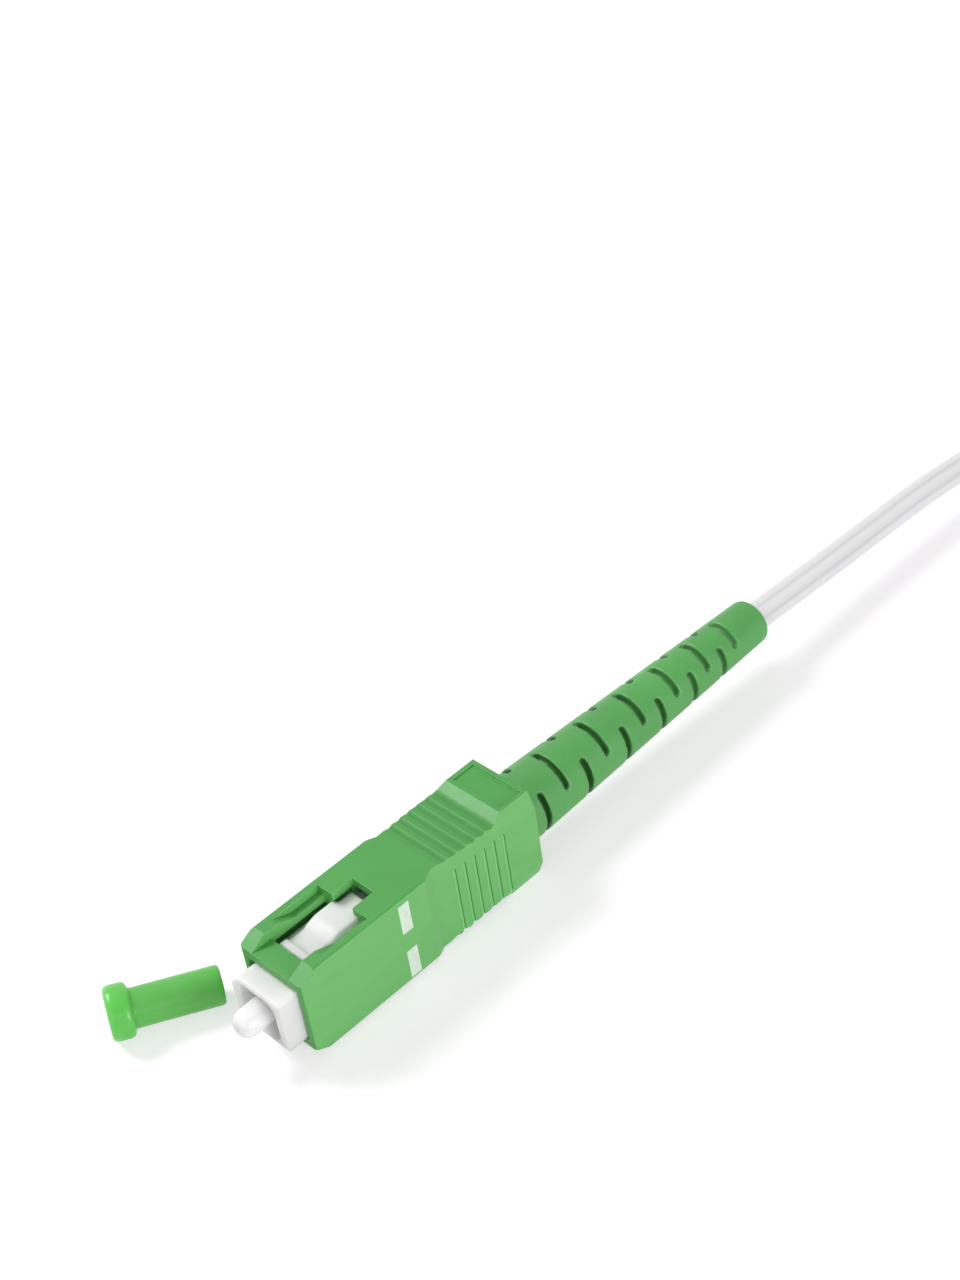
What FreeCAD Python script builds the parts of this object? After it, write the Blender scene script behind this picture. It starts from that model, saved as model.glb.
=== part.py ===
import FreeCAD, Part
import math
import os
import Sketcher
from FreeCAD import Placement, Rotation, Vector

# SC fibre connector with its lead and its dust cap, in millimetres.
# The nose points to -X and the lead leaves to +X. The origin is on the ferrule's axis, in the
# plane of the plug frame's front face. The window faces are +Z and -Z, the key is on +Y.

SIZES = [
    # grip housing, outside
    ("grip_width", 7.4, "across the side walls, along Y"),
    ("grip_height", 9.0, "across the window faces, along Z"),
    ("grip_nose_x", 2.05, "front of the grip, pulled back on its stop"),
    ("grip_length", 26.15, "nose to back"),
    ("nose_bevel_length", 1.6, "bevel on the rails' front, along X"),
    ("nose_bevel_drop", 0.87, "bevel on the rails' front, along Z"),
    ("front_length", 13.65, "straight front section"),
    ("shoulder_run", 1.1, "step from the front section to the waist"),
    ("waist_width", 6.32, "narrowest width"),
    ("tail_width", 7.78, "width at the back"),
    ("tail_rise", 0.26, "tail block above the front section, on each side"),
    ("tail_length", 3.27, "tail block, along X"),
    ("tail_ramp_run", 0.88, "slope up to the tail block"),
    ("tail_top_width", 6.4, "flat on top of the tail block"),
    ("tail_bevel_drop", 1.58, "bevel from the tail block's flat down its sides, along Z"),
    ("grip_edge", 0.22, "rounding of the front section's long edges"),
    ("nose_edge", 0.3, "rounding of the nose's upright edges"),
    # ribs on the window faces and grooves on the sides
    ("rib_lead", 1.9, "end of the front section to the first rib"),
    ("rib_pitch", 1.06, "rib to rib"),
    ("rib_count", 6, "ribs on each window face"),
    ("rib_depth", 0.2, "rib height"),
    ("rib_fall", 0.7, "length of each rib's long flank"),
    ("rib_end_drop", 0.25, "face behind the last rib below the front section"),
    ("groove_lead", 3.3, "end of the front section to the first side groove"),
    ("groove_pitch", 1.075, "groove to groove"),
    ("groove_count", 6, "grooves on each side"),
    ("groove_width", 0.3, "side groove, along X"),
    ("groove_depth", 0.12, "side groove, into the wall"),
    ("groove_top", 2.75, "upper end of the side grooves above the axis"),
    # shallow recess on the tail block
    ("recess_margin_x", 0.45, "tail block's edge to the recess, along X"),
    ("recess_width", 5.8, "recess, along Y"),
    ("recess_depth", 0.2, "recess, into the block"),
    # windows of the grip
    ("bar_length", 2.1, "front bar under each window, along X"),
    ("window_length", 5.85, "wide part of the window, along X"),
    ("window_width", 4.54, "wide part of the window, along Y"),
    ("ledge_width", 6.1, "between the full-height rails"),
    ("ledge_lead", 2.95, "nose to the start of the cam ramps"),
    ("ledge_run", 2.0, "cam ramps, along X"),
    ("ledge_drop", 0.75, "cam ramps, along Z"),
    ("undercut_height", 0.4, "hollow under the cam ledges, above the frame"),
    ("undercut_depth", 0.45, "hollow under the cam ledges, into each side"),
    ("notch_width", 2.5, "narrow part of the window, along Y"),
    ("notch_length", 2.3, "narrow part of the window, along X"),
    # fits of the grip on the plug frame
    ("grip_travel", 1.8, "slide of the grip on the plug frame"),
    ("slide_gap", 0.1, "clearance round the plug frame, on each side"),
    ("stop_gap", 0.1, "clearance at the stops, along X"),
    ("channel_height", 6.2, "grip's channel behind the plug frame's wide part"),
    # key rail
    ("key_width", 2.0, "key rail, along Z"),
    ("key_height", 0.85, "key rail, out of the side wall"),
    ("key_lead", 0.95, "nose to the key rail"),
    ("key_length", 12.0, "key rail, along X"),
    ("key_slope", 0.6, "sloped ends of the key rail"),
    # plug frame
    ("frame_width", 6.06, "wide part, along Y"),
    ("frame_height", 5.4, "wide part, along Z"),
    ("frame_wide_length", 13.0, "wide part, along X"),
    ("frame_length", 18.4, "whole plug frame, along X"),
    ("frame_tail_width", 5.1, "narrow part, along Y"),
    ("frame_tail_height", 5.2, "narrow part, along Z"),
    ("frame_edge", 0.35, "rounding of the frame's long edges"),
    ("frame_bevel", 0.95, "bevelled edges on the key side"),
    ("lip_length", 0.85, "front lip of the hook block"),
    ("lip_width", 3.2, "front lip of the hook block"),
    ("lip_height", 0.8, "front lip above the frame"),
    ("neck_length", 1.9, "low part of the hook block"),
    ("neck_width", 3.0, "low part of the hook block"),
    ("neck_height", 0.5, "low part above the frame"),
    ("lug_ramp", 1.1, "ramp up to the hook lug"),
    ("lug_length", 2.2, "flat of the hook lug"),
    ("lug_width", 3.3, "hook lug, along Y"),
    ("lug_height", 0.85, "hook lug above the frame"),
    ("lug_tail_length", 1.55, "narrow block behind the hook lug"),
    ("socket_width", 4.2, "square front socket"),
    ("socket_corner", 0.9, "corner radius of the front socket"),
    ("socket_depth", 4.9, "front socket, along X"),
    ("partition", 0.7, "wall that the flange seats on"),
    ("partition_bore", 3.2, "hole in that wall"),
    ("cavity_bore", 4.2, "bore for the flange and the spring"),
    ("barb_slot_length", 1.4, "slots for the stop ring's barbs, along X"),
    ("barb_slot_width", 1.8, "slots for the stop ring's barbs, along Y"),
    ("barb_slot_inset", 1.4, "slots to the frame's rear face"),
    # ferrule and its flange
    ("ferrule_diameter", 2.5, "ferrule"),
    ("ferrule_length", 10.5, "ferrule"),
    ("ferrule_proud", 2.2, "ferrule's tip in front of the plug frame"),
    ("ferrule_dome_length", 1.0, "rounding of the tip"),
    ("ferrule_seat_taper", 0.01, "taper of the ferrule where it is pressed in, on each side"),
    ("ferrule_tip_diameter", 1.0, "polished face"),
    ("polish_angle", 8.0, "angled polish, in degrees"),
    ("glass_diameter", 0.125, "bare fibre"),
    ("glue_line", 0.02, "glued and pressed fits, on each side"),
    ("funnel_length", 1.6, "funnel behind the ferrule's fine bore"),
    ("flange_diameter", 3.9, "ferrule flange"),
    ("flange_length", 2.8, "ferrule flange"),
    ("flange_slot_width", 0.8, "key slots of the flange"),
    ("flange_slot_depth", 0.4, "key slots of the flange"),
    ("stem_diameter", 2.4, "flange's stem"),
    ("stem_length", 4.1, "flange's stem"),
    ("tube_diameter", 1.44, "guide tube"),
    ("tube_bore", 1.0, "guide tube's bore"),
    ("tube_length", 8.4, "guide tube"),
    ("buffer_diameter", 0.9, "buffered fibre"),
    ("buffer_length", 31.0, "buffered fibre"),
    # spring
    ("spring_length", 6.2, "spring between the flange and the stop ring"),
    ("spring_diameter", 3.24, "middle of the wire"),
    ("spring_wire", 0.32, "wire"),
    ("spring_turns", 5.5, "turns"),
    ("float_travel", 1.5, "travel of the ferrule"),
    # stop ring and crimp
    ("stop_bore", 1.9, "bore of the stop ring"),
    ("barb_height", 0.35, "barbs above the stop ring's nose"),
    ("collar_diameter", 4.9, "collar behind the plug frame"),
    ("collar_length", 0.8, "collar"),
    ("stop_body_diameter", 4.0, "stop ring behind the collar"),
    ("stop_body_length", 4.5, "stop ring behind the collar"),
    ("crimp_stem_diameter", 2.9, "crimp stem"),
    ("crimp_stem_length", 5.0, "crimp stem"),
    ("crimp_groove", 0.08, "depth of the stem's rings"),
    ("yarn_thickness", 0.12, "yarn on the crimp stem"),
    ("crimp_wall", 0.35, "crimp ring's wall"),
    ("crimp_neck_length", 2.6, "crimp ring on the cable's jacket"),
    ("crimp_neck_slope", 0.5, "step of the crimp ring"),
    ("fit_gap", 0.05, "clearance between fixed round pieces, on each side"),
    # cable and boot
    ("cable_diameter", 2.8, "lead"),
    ("jacket_gap", 0.6, "crimp stem's end to the cable's jacket"),
    ("jacket_bore", 1.2, "room for the fibre in the jacket's end"),
    ("jacket_bore_depth", 11.5, "room for the fibre in the jacket's end"),
    ("boot_sleeve_diameter", 5.2, "boot inside the grip"),
    ("boot_inset", 0.15, "boot's shoulder inside the grip's back"),
    ("boot_length", 32.95, "boot behind its shoulder"),
    ("boot_diameter", 6.69, "boot at its shoulder"),
    ("boot_end_diameter", 4.54, "boot at its end"),
    ("boot_end_round", 0.45, "rounding of the boot's end"),
    ("boot_gap", 0.11, "clearance round the boot in the grip"),
    ("boot_seat_depth", 1.2, "grip's round opening for the boot"),
    ("boot_bore_gap", 0.1, "clearance round the cable in the boot"),
    ("slot_lead", 2.25, "boot's shoulder to its first slots"),
    ("slot_pitch", 2.76, "first pair of slots to the second"),
    ("slot_pitch_loss", 0.08, "each later pitch is this much shorter"),
    ("slot_rows", 12, "rows of slots"),
    ("slot_width", 0.45, "slot at its floor"),
    ("slot_widening", 0.04, "each later slot is this much wider at the skin"),
    ("slot_depth", 0.97, "first slots"),
    ("slot_depth_loss", 0.032, "each later slot is this much shallower"),
    ("wide_slot_angle", 118.0, "arc of the wide slots, in degrees"),
    ("wide_slot_heading", 102.0, "middle of the wide slots, from +Z towards -Y"),
    ("short_slot_angle", 92.0, "arc of the short slots, in degrees"),
    ("short_slot_heading", 23.0, "middle of the short slots, from +Z towards -Y"),
    # hank and tie
    ("hank_run", 27.5, "straight runs of the hank"),
    ("hank_fold", 19.6, "middle of the strands across the hank"),
    ("hank_columns", 2, "strands side by side"),
    ("hank_layers", 5, "strands on top of each other"),
    ("tie_thickness", 0.5, "band round one side of the hank"),
    ("tie_width", 3.0, "band round one side of the hank"),
    ("tie_gap", 0.05, "band to the hank"),
    ("tie_head", 1.6, "head of the band"),
    # dust cap
    ("cap_length", 9.6, "dust cap"),
    ("cap_diameter", 3.4, "dust cap"),
    ("cap_flange_diameter", 4.7, "dust cap's rim"),
    ("cap_flange_length", 2.0, "dust cap's rim"),
    ("cap_flange_round", 0.45, "rounding of the rim"),
    ("cap_end_round", 0.25, "rounding of the open end"),
    ("cap_dish_depth", 0.5, "hollow in the rim's face"),
    ("cap_dish_lip", 0.55, "lip round that hollow"),
    ("cap_bore_gap", 0.02, "cap's bore round the ferrule"),
    ("cap_bore_depth", 8.0, "cap's bore"),
    ("cap_heading", 153.0, "where the rim faces, from +X towards +Y"),
    ("cap_centre_x", -2.7, "where the cap lies"),
    ("cap_centre_y", 9.5, "where the cap lies"),
]

# The lead's route from the boot's end to the hank, and the hank's middle.
LEAD_POINTS = [
    (61.0, 0.0, 0.0),
    (89.0, -0.2, -0.9),
    (112.0, -4.6, -2.86),
    (131.0, -5.2, -2.86),
]
HANK_CENTRE = (140.0, 6.0)

doc = FreeCAD.newDocument("sc_connector")
sheet = doc.addObject("Spreadsheet::Sheet", "sizes")
for row, (alias, value, meaning) in enumerate(SIZES, start=1):
    sheet.set("A%d" % row, alias)
    sheet.set("B%d" % row, str(value))
    sheet.set("C%d" % row, meaning)
    sheet.setAlias("B%d" % row, alias)
doc.recompute()


class Dim:
    """A length: its value now, and the expression that keeps it bound to the sheet."""

    def __init__(self, value, text):
        self.value = value
        self.text = text

    def __add__(self, other):
        other = dim(other)
        return Dim(self.value + other.value, "(%s + %s)" % (self.text, other.text))

    def __sub__(self, other):
        other = dim(other)
        return Dim(self.value - other.value, "(%s - %s)" % (self.text, other.text))

    def __mul__(self, other):
        other = dim(other)
        return Dim(self.value * other.value, "(%s * %s)" % (self.text, other.text))

    def __truediv__(self, other):
        other = dim(other)
        return Dim(self.value / other.value, "(%s / %s)" % (self.text, other.text))

    def __radd__(self, other):
        return dim(other) + self

    def __rsub__(self, other):
        return dim(other) - self

    def __rmul__(self, other):
        return dim(other) * self

    def __neg__(self):
        return Dim(-self.value, "(-1 * %s)" % self.text)


def dim(value):
    return value if isinstance(value, Dim) else Dim(float(value), "(%r)" % float(value))


def tangent(angle):
    return Dim(math.tan(math.radians(angle.value)), "tan(%s * 1deg)" % angle.text)


class Sheet:
    """The sizes by name."""

    def __getattr__(self, alias):
        return Dim(float(getattr(sheet, alias)), "sizes." + alias)


S = Sheet()
nodes = []


# ---------------------------------------------------------------- building blocks

def new_body(name):
    body = doc.addObject("PartDesign::Body", name + "_body")
    body.Label = name
    nodes.append(body)
    return body


def new_sketch(body, plane, name, offset=None, turn=None):
    """A sketch on one of the body's own planes, moved out by offset, turned by turn about X."""
    sketch = body.newObject("Sketcher::SketchObject", name)
    origin = [f for f in body.Origin.OriginFeatures if f.Role == plane]
    sketch.AttachmentSupport = [(origin[0], "")]
    sketch.MapMode = "FlatFace"
    if offset is not None:
        sketch.AttachmentOffset = Placement(Vector(0, 0, offset.value), Rotation())
        sketch.setExpression("AttachmentOffset.Base.z", offset.text)
    if turn is not None:
        sketch.AttachmentOffset = Placement(Vector(), Rotation(Vector(1, 0, 0), turn.value))
        sketch.setExpression("AttachmentOffset.Rotation.Angle", turn.text)
    return sketch


def pin_point(sketch, line, x, y):
    """Holds the start of a line at a place that the sheet drives."""
    for kind, value, axis in (("DistanceX", x, -2), ("DistanceY", y, -1)):
        if value.value == 0:
            sketch.addConstraint(Sketcher.Constraint("PointOnObject", line, 1, axis))
        else:
            number = sketch.addConstraint(Sketcher.Constraint(kind, -1, 1, line, 1, value.value))
            sketch.setExpression("Constraints[%d]" % number, value.text)


def add_polygon(sketch, points):
    points = [(dim(x), dim(y)) for x, y in points]
    first = sketch.GeometryCount
    count = len(points)
    for i in range(count):
        x1, y1 = points[i]
        x2, y2 = points[(i + 1) % count]
        start = Vector(x1.value, y1.value, 0)
        sketch.addGeometry(Part.LineSegment(start, Vector(x2.value, y2.value, 0)))
    for i in range(count):
        after = first + (i + 1) % count
        sketch.addConstraint(Sketcher.Constraint("Coincident", first + i, 2, after, 1))
    for i in range(count):
        pin_point(sketch, first + i, *points[i])


def add_rectangle(sketch, x1, x2, y1, y2):
    add_polygon(sketch, [(x1, y1), (x2, y1), (x2, y2), (x1, y2)])


def add_circle(sketch, x, y, radius):
    number = sketch.addGeometry(Part.Circle(Vector(dim(x).value, dim(y).value, 0),
                                            Vector(0, 0, 1), radius.value))
    for kind, value, axis in (("DistanceX", dim(x), -2), ("DistanceY", dim(y), -1)):
        if value.value == 0:
            sketch.addConstraint(Sketcher.Constraint("PointOnObject", number, 3, axis))
        else:
            held = sketch.addConstraint(Sketcher.Constraint(kind, -1, 1, number, 3, value.value))
            sketch.setExpression("Constraints[%d]" % held, value.text)
    held = sketch.addConstraint(Sketcher.Constraint("Radius", number, radius.value))
    sketch.setExpression("Constraints[%d]" % held, radius.text)


def add_oval(sketch, half_run, radius):
    """Two straight runs along X, joined by half rounds, about the sketch's origin."""
    first = sketch.GeometryCount
    run, r = half_run.value, radius.value
    for side in (1, -1):
        circle = Part.Circle(Vector(side * run, 0, 0), Vector(0, 0, 1), r)
        start = -side * math.pi / 2
        sketch.addGeometry(Part.ArcOfCircle(circle, start, start + math.pi))
    for side in (1, -1):
        sketch.addGeometry(Part.LineSegment(Vector(side * run, side * r, 0),
                                            Vector(-side * run, side * r, 0)))
    for one, other in ((0, 2), (2, 1), (1, 3), (3, 0)):
        sketch.addConstraint(Sketcher.Constraint("Tangent", first + one, 2, first + other, 1))
    sketch.addConstraint(Sketcher.Constraint("Equal", first, first + 1))
    for arc, length in ((first, half_run), (first + 1, -half_run)):
        sketch.addConstraint(Sketcher.Constraint("PointOnObject", arc, 3, -1))
        held = sketch.addConstraint(Sketcher.Constraint("DistanceX", -1, 1, arc, 3, length.value))
        sketch.setExpression("Constraints[%d]" % held, length.text)
    held = sketch.addConstraint(Sketcher.Constraint("Radius", first, r))
    sketch.setExpression("Constraints[%d]" % held, radius.text)


def feature(body, kind, name, sketch, length, symmetric=False, backward=False):
    """A Pad or Pocket of a sketch."""
    made = body.newObject("PartDesign::" + kind, name)
    made.Profile = sketch
    made.SideType = "Symmetric" if symmetric else "One side"
    made.Reversed = backward
    made.Length = length.value
    made.setExpression("Length", length.text)
    return made


def revolve(body, kind, name, sketch, angle=None, axis="H_Axis"):
    """A Revolution or Groove about an axis of the sketch."""
    made = body.newObject("PartDesign::" + kind, name)
    made.Profile = sketch
    made.ReferenceAxis = (sketch, [axis])
    made.Angle = 360.0
    if angle is not None:
        made.Midplane = True
        made.Angle = angle.value
        made.setExpression("Angle", angle.text)
    return made


def turned(name, points):
    """A body of revolution about X: points are x and radius."""
    body = new_body(name)
    sketch = new_sketch(body, "XZ_Plane", name + "_profile")
    add_polygon(sketch, points)
    revolve(body, "Revolution", name + "_turned", sketch)
    return body


def round_corner(x, radius, size, facing):
    """A quarter round in three flats, from the skin to the end face; facing is +1 for +X."""
    points = []
    for angle in (0, 30, 60, 90):
        along = 1 - math.sin(math.radians(angle))
        inward = 1 - math.cos(math.radians(angle))
        points.append((x - facing * along * size, radius - inward * size))
    return points


def round_edges(body, name, radius, wanted):
    """Fillets the edges of the body for which wanted(start, end) is true."""
    doc.recompute()
    base = body.Tip
    picked = []
    for number, edge in enumerate(base.Shape.Edges, start=1):
        ends = [v.Point for v in edge.Vertexes]
        if wanted(ends[0], ends[-1]):
            picked.append("Edge%d" % number)
    if not picked:
        raise ValueError("no edges for " + name)
    made = body.newObject("PartDesign::Fillet", name)
    made.Base = (base, picked)
    made.Radius = radius.value
    made.setExpression("Radius", radius.text)
    return made


def opposite_pair(body, name, original, sketch):
    """Repeats a cut on the opposite side of the X axis."""
    pattern = body.newObject("PartDesign::PolarPattern", name)
    pattern.Originals = [original]
    pattern.Axis = (sketch, ["H_Axis"])
    pattern.Angle = 360.0
    pattern.Occurrences = 2
    body.Tip = pattern
    return pattern


def near(a, b):
    return abs(a - b) < 1e-4


# ---------------------------------------------------------------- shared stations along X

bar_end = S.grip_nose_x + S.bar_length
window_end = bar_end + S.window_length
front_end = S.grip_nose_x + S.front_length
grip_back = S.grip_nose_x + S.grip_length
tail_start = grip_back - S.tail_length
flange_front = S.socket_depth + S.partition
flange_back = flange_front + S.flange_length
stop_front = flange_back + S.spring_length
collar_back = S.frame_length + S.collar_length
crimp_start = collar_back + S.stop_body_length
crimp_stem_end = crimp_start + S.crimp_stem_length
jacket_start = crimp_stem_end + S.jacket_gap
boot_shoulder = grip_back - S.boot_inset
boot_end = boot_shoulder + S.boot_length
lip_front = bar_end + S.stop_gap
neck_front = lip_front + S.lip_length
neck_end = neck_front + S.neck_length
lug_end = neck_end + S.lug_ramp + S.lug_length
tail_top = S.grip_height / 2 + S.tail_rise
rib_end = S.grip_height / 2 - S.rib_end_drop
floor_height = -tail_top


# ---------------------------------------------------------------- grip housing

def rib_line():
    """The ribs of a window face as x and height: long falling flank, short rising flank."""
    points = []
    start = front_end + S.rib_lead
    top = S.grip_height / 2
    count = int(S.rib_count.value)
    fall = S.rib_end_drop / S.rib_count
    for i in range(count):
        x = start + i * S.rib_pitch
        crest = top - i * fall
        points.append((x, crest))
        points.append((x + S.rib_fall, crest - S.rib_depth))
    points.append((start + count * S.rib_pitch, rib_end))
    return points


def grip_window_profile(side):
    """What is cut above (side 1) or below (side -1) the window face's outline."""
    half = S.grip_height / 2
    high = tail_top
    out = high + 1
    points = [(S.grip_nose_x - 1, half - S.nose_bevel_drop),
              (S.grip_nose_x, half - S.nose_bevel_drop),
              (S.grip_nose_x + S.nose_bevel_length, half)]
    points += rib_line()
    points += [(tail_start - S.tail_ramp_run, rib_end), (tail_start, high),
               (tail_start, out), (S.grip_nose_x - 1, out)]
    return [(x, side * z) for x, z in points]


def flare(x):
    """Half width of the grip behind its waist."""
    waist_x = front_end + S.shoulder_run
    share = (x - waist_x) / (grip_back - waist_x)
    return S.waist_width / 2 + share * (S.tail_width - S.waist_width) / 2


def grip_outside(body):
    sketch = new_sketch(body, "XY_Plane", "grip_plan")
    half = S.grip_width / 2
    right = [(S.grip_nose_x, half), (front_end, half),
             (front_end + S.shoulder_run, S.waist_width / 2), (grip_back, S.tail_width / 2)]
    left = [(x, -y) for x, y in reversed(right)]
    add_polygon(sketch, right + left)
    feature(body, "Pad", "grip_block", sketch, 2 * tail_top, symmetric=True)
    sketch = new_sketch(body, "XZ_Plane", "grip_window_faces")
    add_polygon(sketch, grip_window_profile(1))
    add_polygon(sketch, grip_window_profile(-1))
    feature(body, "Pocket", "grip_faces_cut", sketch, S.tail_width + 2, symmetric=True)
    sketch = new_sketch(body, "YZ_Plane", "grip_tail_bevels", front_end + S.shoulder_run)
    for side in (1, -1):
        for end in (1, -1):
            add_polygon(sketch, [
                (side * S.tail_top_width / 2, end * tail_top),
                (side * S.tail_width / 2, end * (tail_top - S.tail_bevel_drop)),
                (side * (S.tail_width / 2 + 1), end * (tail_top - S.tail_bevel_drop)),
                (side * (S.tail_width / 2 + 1), end * (tail_top + 1)),
                (side * S.tail_top_width / 2, end * (tail_top + 1))])
    feature(body, "Pocket", "grip_tail_bevelled", sketch, S.grip_length, backward=True)


def grip_key(body):
    sketch = new_sketch(body, "XY_Plane", "key_plan")
    front = S.grip_nose_x + S.key_lead
    wall = S.grip_width / 2
    add_polygon(sketch, [(front, wall - 0.2), (front, wall),
                         (front + S.key_slope, wall + S.key_height),
                         (front + S.key_length - S.key_slope, wall + S.key_height),
                         (front + S.key_length, wall), (front + S.key_length, wall - 0.2)])
    feature(body, "Pad", "key_rail", sketch, S.key_width, symmetric=True)


def grip_inside(body):
    room = S.frame_width / 2 + S.slide_gap
    height = S.frame_height / 2 + S.slide_gap
    step = S.frame_wide_length + S.grip_travel + S.stop_gap
    sketch = new_sketch(body, "YZ_Plane", "grip_cavity", S.grip_nose_x)
    add_rectangle(sketch, -room, room, -height, height)
    feature(body, "Pocket", "grip_cavity_cut", sketch, step - S.grip_nose_x, backward=True)
    sleeve = S.boot_sleeve_diameter / 2 + S.slide_gap
    sketch = new_sketch(body, "YZ_Plane", "grip_channel", step)
    add_rectangle(sketch, -sleeve, sleeve, -S.channel_height / 2, S.channel_height / 2)
    feature(body, "Pocket", "grip_channel_cut", sketch, grip_back - step, backward=True)
    sketch = new_sketch(body, "YZ_Plane", "grip_boot_opening", grip_back - S.boot_seat_depth)
    add_circle(sketch, 0, 0, S.boot_diameter / 2 + S.boot_gap)
    feature(body, "Pocket", "grip_boot_cut", sketch, S.boot_seat_depth, backward=True)


def grip_windows(body):
    """Over each window face: the wide window, the cam ledges, the notch and the lug's room."""
    bar_top = S.grip_height / 2 - S.nose_bevel_drop
    inner = S.frame_height / 2
    out = tail_top + 1
    sketch = new_sketch(body, "XZ_Plane", "window_side")
    for side in (1, -1):
        add_polygon(sketch, [(S.grip_nose_x - 1, side * bar_top), (bar_end, side * bar_top),
                             (bar_end, side * inner), (window_end, side * inner),
                             (window_end, side * out), (S.grip_nose_x - 1, side * out)])
    feature(body, "Pocket", "window_cut", sketch, S.window_width, symmetric=True)
    ramp = S.grip_nose_x + S.ledge_lead
    top = S.grip_height / 2
    sketch = new_sketch(body, "XZ_Plane", "ledge_side")
    for side in (1, -1):
        add_polygon(sketch, [(ramp, side * top), (ramp + S.ledge_run, side * (top - S.ledge_drop)),
                             (window_end, side * (top - S.ledge_drop)),
                             (window_end, side * out), (ramp, side * out)])
    feature(body, "Pocket", "ledge_cut", sketch, S.ledge_width, symmetric=True)
    sketch = new_sketch(body, "XZ_Plane", "notch_side")
    for side in (1, -1):
        add_polygon(sketch, [(window_end - 0.1, side * inner),
                             (window_end + S.notch_length, side * inner),
                             (window_end + S.notch_length, side * out),
                             (window_end - 0.1, side * out)])
    feature(body, "Pocket", "notch_cut", sketch, S.notch_width, symmetric=True)
    room = S.frame_height / 2 + S.lug_height + 1.5 * S.slide_gap
    end = lug_end + S.grip_travel + S.stop_gap
    sketch = new_sketch(body, "XZ_Plane", "lug_room_side")
    add_rectangle(sketch, bar_end, end, -room, room)
    feature(body, "Pocket", "lug_room_cut", sketch, S.lug_width + 2 * S.slide_gap,
            symmetric=True)
    sketch = new_sketch(body, "XZ_Plane", "lug_tail_room_side")
    add_rectangle(sketch, bar_end, end + S.lug_tail_length, -room, room)
    feature(body, "Pocket", "lug_tail_room_cut", sketch, S.notch_width, symmetric=True)
    sketch = new_sketch(body, "XZ_Plane", "undercut_side")
    low = inner + S.undercut_height
    add_rectangle(sketch, bar_end, window_end, -low, low)
    feature(body, "Pocket", "undercuts", sketch, S.window_width + 2 * S.undercut_depth,
            symmetric=True)


def grip_details(body):
    """Side grooves that follow the flare, and the recess on each face of the tail block."""
    sketch = new_sketch(body, "XY_Plane", "groove_plan", S.groove_top)
    first = front_end + S.groove_lead
    for i in range(int(S.groove_count.value)):
        x1 = first + i * S.groove_pitch
        x2 = x1 + S.groove_width
        for side in (1, -1):
            add_polygon(sketch, [(x1, side * (flare(x1) - S.groove_depth)),
                                 (x2, side * (flare(x2) - S.groove_depth)),
                                 (x2, side * (S.tail_width / 2 + 1)),
                                 (x1, side * (S.tail_width / 2 + 1))])
    feature(body, "Pocket", "grooves_cut", sketch, 2 * tail_top + S.groove_top)
    front = tail_start + S.recess_margin_x
    back = grip_back - S.recess_margin_x
    for side, name in ((1, "upper"), (-1, "lower")):
        height = side * (tail_top - S.recess_depth)
        sketch = new_sketch(body, "XY_Plane", name + "_recess_plan", height)
        add_rectangle(sketch, front, back, -S.recess_width / 2, S.recess_width / 2)
        feature(body, "Pocket", name + "_recess", sketch, S.recess_depth + 1,
                backward=side == 1)


def make_grip():
    body = new_body("grip_housing")
    grip_outside(body)
    grip_key(body)
    grip_inside(body)
    grip_windows(body)
    nose = S.grip_nose_x.value
    wall = S.grip_width.value / 2
    top = S.grip_height.value / 2
    round_edges(body, "nose_rounded", S.nose_edge,
                lambda a, b: near(a.x, nose) and near(b.x, nose)
                and near(abs(a.y), wall) and near(a.y, b.y))
    round_edges(body, "rails_rounded", S.grip_edge,
                lambda a, b: near(abs(a.y), wall) and near(a.y, b.y)
                and near(abs(a.z), top) and near(a.z, b.z) and not near(a.x, b.x))
    grip_details(body)


# ---------------------------------------------------------------- plug frame

def make_plug_frame():
    body = new_body("plug_frame")
    width = S.frame_width / 2
    height = S.frame_height / 2
    sketch = new_sketch(body, "YZ_Plane", "frame_section")
    add_polygon(sketch, [(-width, -height), (width - S.frame_bevel, -height),
                         (width, -height + S.frame_bevel), (width, height - S.frame_bevel),
                         (width - S.frame_bevel, height), (-width, height)])
    feature(body, "Pad", "frame_front", sketch, S.frame_wide_length)
    sketch = new_sketch(body, "YZ_Plane", "frame_tail_section", S.frame_wide_length - 0.5)
    add_rectangle(sketch, -S.frame_tail_width / 2, S.frame_tail_width / 2,
                  -S.frame_tail_height / 2, S.frame_tail_height / 2)
    feature(body, "Pad", "frame_tail", sketch, S.frame_length - S.frame_wide_length + 0.5)
    hook_blocks(body, height)
    frame_bores(body)
    round_edges(body, "frame_corners", S.frame_edge,
                lambda a, b: near(a.x, 0) and near(b.x, 0) and near(abs(a.z), height.value)
                and near(a.z, b.z))


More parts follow.
